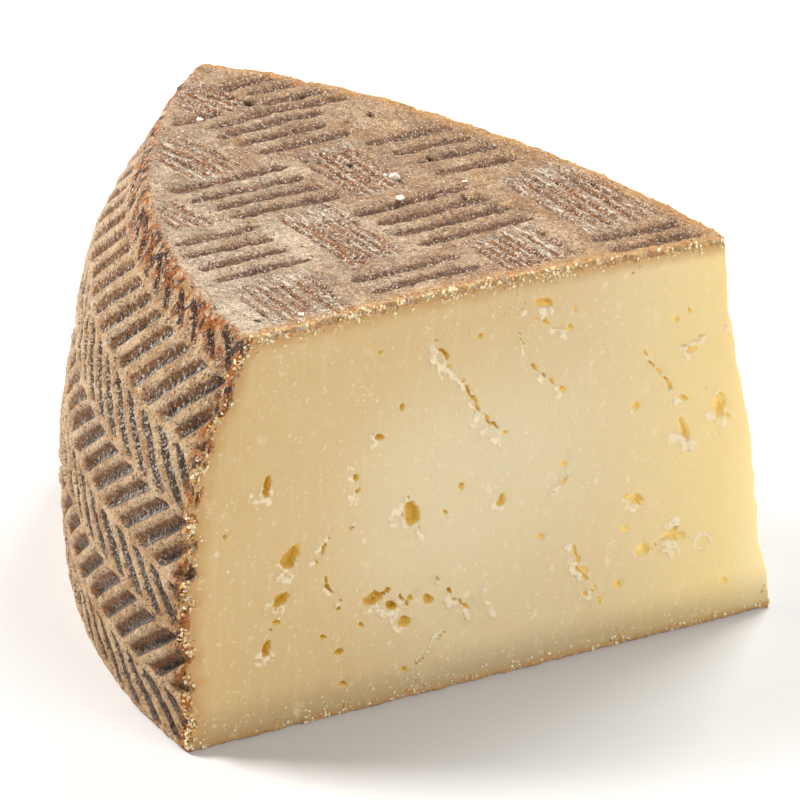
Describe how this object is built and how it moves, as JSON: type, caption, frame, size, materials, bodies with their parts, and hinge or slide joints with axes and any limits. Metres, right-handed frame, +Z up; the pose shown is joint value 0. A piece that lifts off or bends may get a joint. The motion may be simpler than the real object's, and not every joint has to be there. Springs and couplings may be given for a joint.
{
  "type": "manchego wedge",
  "caption": "Wedge of aged sheep's milk cheese with a plaited-pattern rind, cut faces with small eyes and cracks, lying on one flat face of the wheel.",
  "frame": {"origin": "middle of the object's box, at the level of the face it lies on", "axes": "+X from the rind towards the tip, near cut face towards -Y, +Z up"},
  "size_m": [0.1205, 0.112, 0.0718],
  "materials": {
    "cheese": "semi-matt cheese paste with a dry, dusty rind"
  },
  "bodies": {
    "root": {"manchego_wedge": "cheese"}
  },
  "joints": []
}
